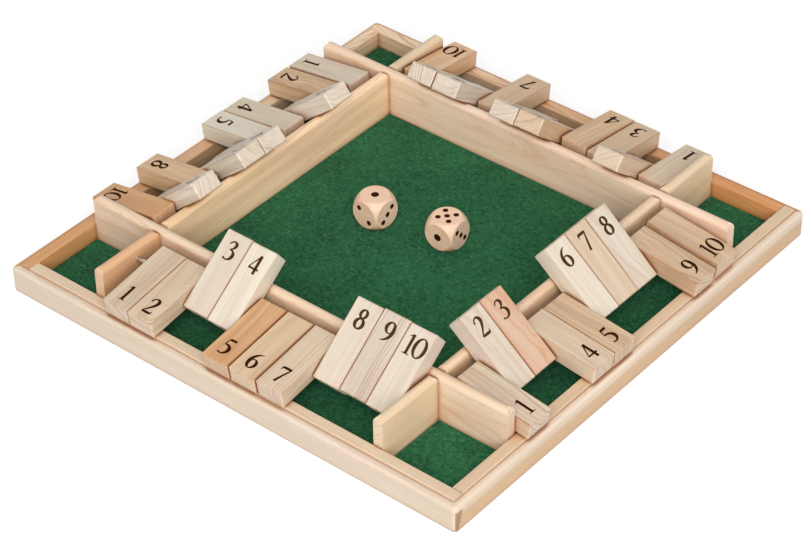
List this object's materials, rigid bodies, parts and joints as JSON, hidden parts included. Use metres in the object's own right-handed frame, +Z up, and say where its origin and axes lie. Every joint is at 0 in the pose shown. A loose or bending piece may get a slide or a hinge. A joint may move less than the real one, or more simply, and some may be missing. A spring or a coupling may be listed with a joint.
{
  "type": "shut the box game",
  "caption": "Square wooden dice tray with a green felt field and a rack of hinged number tiles on a steel rod along each side, with a pair of dice.",
  "frame": {"origin": "middle of the underside of the board, on the surface it stands on", "axes": "+Z up; +X and -Y towards the two near sides of the board, -Y being its front"},
  "size_m": [0.3, 0.3, 0.0524],
  "materials": {
    "pine_pale": "satin",
    "pine_tan": "satin",
    "felt": "matte",
    "steel": "satin"
  },
  "bodies": {
    "board": {"base_panel": "pine_pale", "felt": "felt", "rail_front": "pine_pale", "rail_right": "pine_pale", "rail_back": "pine_tan", "rail_left": "pine_tan", "ledge_front": "pine_pale", "ledge_right": "pine_pale", "ledge_back": "pine_tan", "ledge_left": "pine_tan", "long_wall_front": "pine_pale", "long_wall_back": "pine_pale", "cross_wall_left": "pine_pale", "cross_wall_right": "pine_pale", "partitions": "pine_pale", "rods": "steel"},
    "tile_front_1": {"tile_front_1": "pine_pale"},
    "tile_front_2": {"tile_front_2": "pine_pale"},
    "tile_front_3": {"tile_front_3": "pine_pale"},
    "tile_front_4": {"tile_front_4": "pine_pale"},
    "tile_front_5": {"tile_front_5": "pine_pale"},
    "tile_front_6": {"tile_front_6": "pine_pale"},
    "tile_front_7": {"tile_front_7": "pine_pale"},
    "tile_front_8": {"tile_front_8": "pine_pale"},
    "tile_front_9": {"tile_front_9": "pine_pale"},
    "tile_front_10": {"tile_front_10": "pine_pale"},
    "tile_right_1": {"tile_right_1": "pine_pale"},
    "tile_right_2": {"tile_right_2": "pine_pale"},
    "tile_right_3": {"tile_right_3": "pine_pale"},
    "tile_right_4": {"tile_right_4": "pine_pale"},
    "tile_right_5": {"tile_right_5": "pine_pale"},
    "tile_right_6": {"tile_right_6": "pine_pale"},
    "tile_right_7": {"tile_right_7": "pine_pale"},
    "tile_right_8": {"tile_right_8": "pine_pale"},
    "tile_right_9": {"tile_right_9": "pine_pale"},
    "tile_right_10": {"tile_right_10": "pine_pale"},
    "tile_back_1": {"tile_back_1": "pine_pale"},
    "tile_back_2": {"tile_back_2": "pine_pale"},
    "tile_back_3": {"tile_back_3": "pine_pale"},
    "tile_back_4": {"tile_back_4": "pine_pale"},
    "tile_back_5": {"tile_back_5": "pine_pale"},
    "tile_back_6": {"tile_back_6": "pine_pale"},
    "tile_back_7": {"tile_back_7": "pine_pale"},
    "tile_back_8": {"tile_back_8": "pine_pale"},
    "tile_back_9": {"tile_back_9": "pine_pale"},
    "tile_back_10": {"tile_back_10": "pine_pale"},
    "tile_left_1": {"tile_left_1": "pine_pale"},
    "tile_left_2": {"tile_left_2": "pine_pale"},
    "tile_left_3": {"tile_left_3": "pine_pale"},
    "tile_left_4": {"tile_left_4": "pine_pale"},
    "tile_left_5": {"tile_left_5": "pine_pale"},
    "tile_left_6": {"tile_left_6": "pine_pale"},
    "tile_left_7": {"tile_left_7": "pine_pale"},
    "tile_left_8": {"tile_left_8": "pine_pale"},
    "tile_left_9": {"tile_left_9": "pine_pale"},
    "tile_left_10": {"tile_left_10": "pine_pale"},
    "die_left": {"die_left": "pine_pale"},
    "die_right": {"die_right": "pine_pale"}
  },
  "joints": [
    {"name": "tile_front_1_hinge", "type": "hinge", "parent": "board", "child": "tile_front_1", "pos_m": [-0.0742, -0.1132, 0.0267], "axis": [-1, 0, 0], "range_deg": [0, 149]},
    {"name": "tile_front_2_hinge", "type": "hinge", "parent": "board", "child": "tile_front_2", "pos_m": [-0.0571, -0.1132, 0.0267], "axis": [-1, 0, 0], "range_deg": [0, 149.1]},
    {"name": "tile_front_3_hinge", "type": "hinge", "parent": "board", "child": "tile_front_3", "pos_m": [-0.04, -0.1132, 0.0267], "axis": [-1, 0, 0], "range_deg": [-150.5, 0]},
    {"name": "tile_front_4_hinge", "type": "hinge", "parent": "board", "child": "tile_front_4", "pos_m": [-0.0229, -0.1132, 0.0267], "axis": [-1, 0, 0], "range_deg": [-150.5, 0]},
    {"name": "tile_front_5_hinge", "type": "hinge", "parent": "board", "child": "tile_front_5", "pos_m": [-0.0052, -0.1132, 0.0267], "axis": [-1, 0, 0], "range_deg": [0, 149.6]},
    {"name": "tile_front_6_hinge", "type": "hinge", "parent": "board", "child": "tile_front_6", "pos_m": [0.0126, -0.1132, 0.0267], "axis": [-1, 0, 0], "range_deg": [0, 149.6]},
    {"name": "tile_front_7_hinge", "type": "hinge", "parent": "board", "child": "tile_front_7", "pos_m": [0.0304, -0.1132, 0.0267], "axis": [-1, 0, 0], "range_deg": [0, 149.6]},
    {"name": "tile_front_8_hinge", "type": "hinge", "parent": "board", "child": "tile_front_8", "pos_m": [0.0477, -0.1132, 0.0267], "axis": [-1, 0, 0], "range_deg": [-149.8, 0]},
    {"name": "tile_front_9_hinge", "type": "hinge", "parent": "board", "child": "tile_front_9", "pos_m": [0.0648, -0.1132, 0.0267], "axis": [-1, 0, 0], "range_deg": [-149.8, 0]},
    {"name": "tile_front_10_hinge", "type": "hinge", "parent": "board", "child": "tile_front_10", "pos_m": [0.0819, -0.1132, 0.0267], "axis": [-1, 0, 0], "range_deg": [-150, 0]},
    {"name": "tile_right_1_hinge", "type": "hinge", "parent": "board", "child": "tile_right_1", "pos_m": [0.1132, -0.0817, 0.0267], "axis": [0, -1, 0], "range_deg": [0, 130]},
    {"name": "tile_right_2_hinge", "type": "hinge", "parent": "board", "child": "tile_right_2", "pos_m": [0.1132, -0.0637, 0.0267], "axis": [0, -1, 0], "range_deg": [-149.1, 0]},
    {"name": "tile_right_3_hinge", "type": "hinge", "parent": "board", "child": "tile_right_3", "pos_m": [0.1132, -0.0465, 0.0267], "axis": [0, -1, 0], "range_deg": [-149.4, 0]},
    {"name": "tile_right_4_hinge", "type": "hinge", "parent": "board", "child": "tile_right_4", "pos_m": [0.1132, -0.0288, 0.0267], "axis": [0, -1, 0], "range_deg": [0, 150]},
    {"name": "tile_right_5_hinge", "type": "hinge", "parent": "board", "child": "tile_right_5", "pos_m": [0.1132, -0.0117, 0.0267], "axis": [0, -1, 0], "range_deg": [0, 150.4]},
    {"name": "tile_right_6_hinge", "type": "hinge", "parent": "board", "child": "tile_right_6", "pos_m": [0.1132, 0.0065, 0.0267], "axis": [0, -1, 0], "range_deg": [-149.3, 0]},
    {"name": "tile_right_7_hinge", "type": "hinge", "parent": "board", "child": "tile_right_7", "pos_m": [0.1132, 0.0236, 0.0267], "axis": [0, -1, 0], "range_deg": [-149.1, 0]},
    {"name": "tile_right_8_hinge", "type": "hinge", "parent": "board", "child": "tile_right_8", "pos_m": [0.1132, 0.0407, 0.0267], "axis": [0, -1, 0], "range_deg": [-148.6, 0]},
    {"name": "tile_right_9_hinge", "type": "hinge", "parent": "board", "child": "tile_right_9", "pos_m": [0.1132, 0.0587, 0.0267], "axis": [0, -1, 0], "range_deg": [0, 149.6]},
    {"name": "tile_right_10_hinge", "type": "hinge", "parent": "board", "child": "tile_right_10", "pos_m": [0.1132, 0.0787, 0.0267], "axis": [0, -1, 0], "range_deg": [0, 149.6]},
    {"name": "tile_back_1_hinge", "type": "hinge", "parent": "board", "child": "tile_back_1", "pos_m": [0.082, 0.1132, 0.0267], "axis": [1, 0, 0], "range_deg": [0, 130]},
    {"name": "tile_back_2_hinge", "type": "hinge", "parent": "board", "child": "tile_back_2", "pos_m": [0.0646, 0.1132, 0.0267], "axis": [1, 0, 0], "range_deg": [-149.6, 0]},
    {"name": "tile_back_3_hinge", "type": "hinge", "parent": "board", "child": "tile_back_3", "pos_m": [0.0475, 0.1132, 0.0267], "axis": [1, 0, 0], "range_deg": [0, 150.1]},
    {"name": "tile_back_4_hinge", "type": "hinge", "parent": "board", "child": "tile_back_4", "pos_m": [0.0299, 0.1132, 0.0267], "axis": [1, 0, 0], "range_deg": [0, 148.9]},
    {"name": "tile_back_5_hinge", "type": "hinge", "parent": "board", "child": "tile_back_5", "pos_m": [0.0118, 0.1132, 0.0267], "axis": [1, 0, 0], "range_deg": [-149.3, 0]},
    {"name": "tile_back_6_hinge", "type": "hinge", "parent": "board", "child": "tile_back_6", "pos_m": [-0.0053, 0.1132, 0.0267], "axis": [1, 0, 0], "range_deg": [-150, 0]},
    {"name": "tile_back_7_hinge", "type": "hinge", "parent": "board", "child": "tile_back_7", "pos_m": [-0.0279, 0.1132, 0.0267], "axis": [1, 0, 0], "range_deg": [0, 150]},
    {"name": "tile_back_8_hinge", "type": "hinge", "parent": "board", "child": "tile_back_8", "pos_m": [-0.0455, 0.1132, 0.0267], "axis": [1, 0, 0], "range_deg": [-150, 0]},
    {"name": "tile_back_9_hinge", "type": "hinge", "parent": "board", "child": "tile_back_9", "pos_m": [-0.063, 0.1132, 0.0267], "axis": [1, 0, 0], "range_deg": [-149.6, 0]},
    {"name": "tile_back_10_hinge", "type": "hinge", "parent": "board", "child": "tile_back_10", "pos_m": [-0.0811, 0.1132, 0.0267], "axis": [1, 0, 0], "range_deg": [0, 150.4]},
    {"name": "tile_left_1_hinge", "type": "hinge", "parent": "board", "child": "tile_left_1", "pos_m": [-0.1132, 0.0786, 0.0267], "axis": [0, 1, 0], "range_deg": [0, 130]},
    {"name": "tile_left_2_hinge", "type": "hinge", "parent": "board", "child": "tile_left_2", "pos_m": [-0.1132, 0.0602, 0.0267], "axis": [0, 1, 0], "range_deg": [0, 149.6]},
    {"name": "tile_left_3_hinge", "type": "hinge", "parent": "board", "child": "tile_left_3", "pos_m": [-0.1132, 0.0419, 0.0267], "axis": [0, 1, 0], "range_deg": [-149.1, 0]},
    {"name": "tile_left_4_hinge", "type": "hinge", "parent": "board", "child": "tile_left_4", "pos_m": [-0.1132, 0.0224, 0.0267], "axis": [0, 1, 0], "range_deg": [0, 149.8]},
    {"name": "tile_left_5_hinge", "type": "hinge", "parent": "board", "child": "tile_left_5", "pos_m": [-0.1132, 0.0053, 0.0267], "axis": [0, 1, 0], "range_deg": [0, 150.3]},
    {"name": "tile_left_6_hinge", "type": "hinge", "parent": "board", "child": "tile_left_6", "pos_m": [-0.1132, -0.012, 0.0267], "axis": [0, 1, 0], "range_deg": [-148.9, 0]},
    {"name": "tile_left_7_hinge", "type": "hinge", "parent": "board", "child": "tile_left_7", "pos_m": [-0.1132, -0.0291, 0.0267], "axis": [0, 1, 0], "range_deg": [-148.6, 0]},
    {"name": "tile_left_8_hinge", "type": "hinge", "parent": "board", "child": "tile_left_8", "pos_m": [-0.1132, -0.0469, 0.0267], "axis": [0, 1, 0], "range_deg": [0, 149.7]},
    {"name": "tile_left_9_hinge", "type": "hinge", "parent": "board", "child": "tile_left_9", "pos_m": [-0.1132, -0.064, 0.0267], "axis": [0, 1, 0], "range_deg": [-148.7, 0]},
    {"name": "tile_left_10_hinge", "type": "hinge", "parent": "board", "child": "tile_left_10", "pos_m": [-0.1132, -0.0811, 0.0267], "axis": [0, 1, 0], "range_deg": [0, 148.4]},
    {"name": "die_left_lift", "type": "slide", "parent": "board", "child": "die_left", "axis": [0, 0, 1], "range_m": [0, 0.05]},
    {"name": "die_right_lift", "type": "slide", "parent": "board", "child": "die_right", "axis": [0, 0, 1], "range_m": [0, 0.05]}
  ]
}
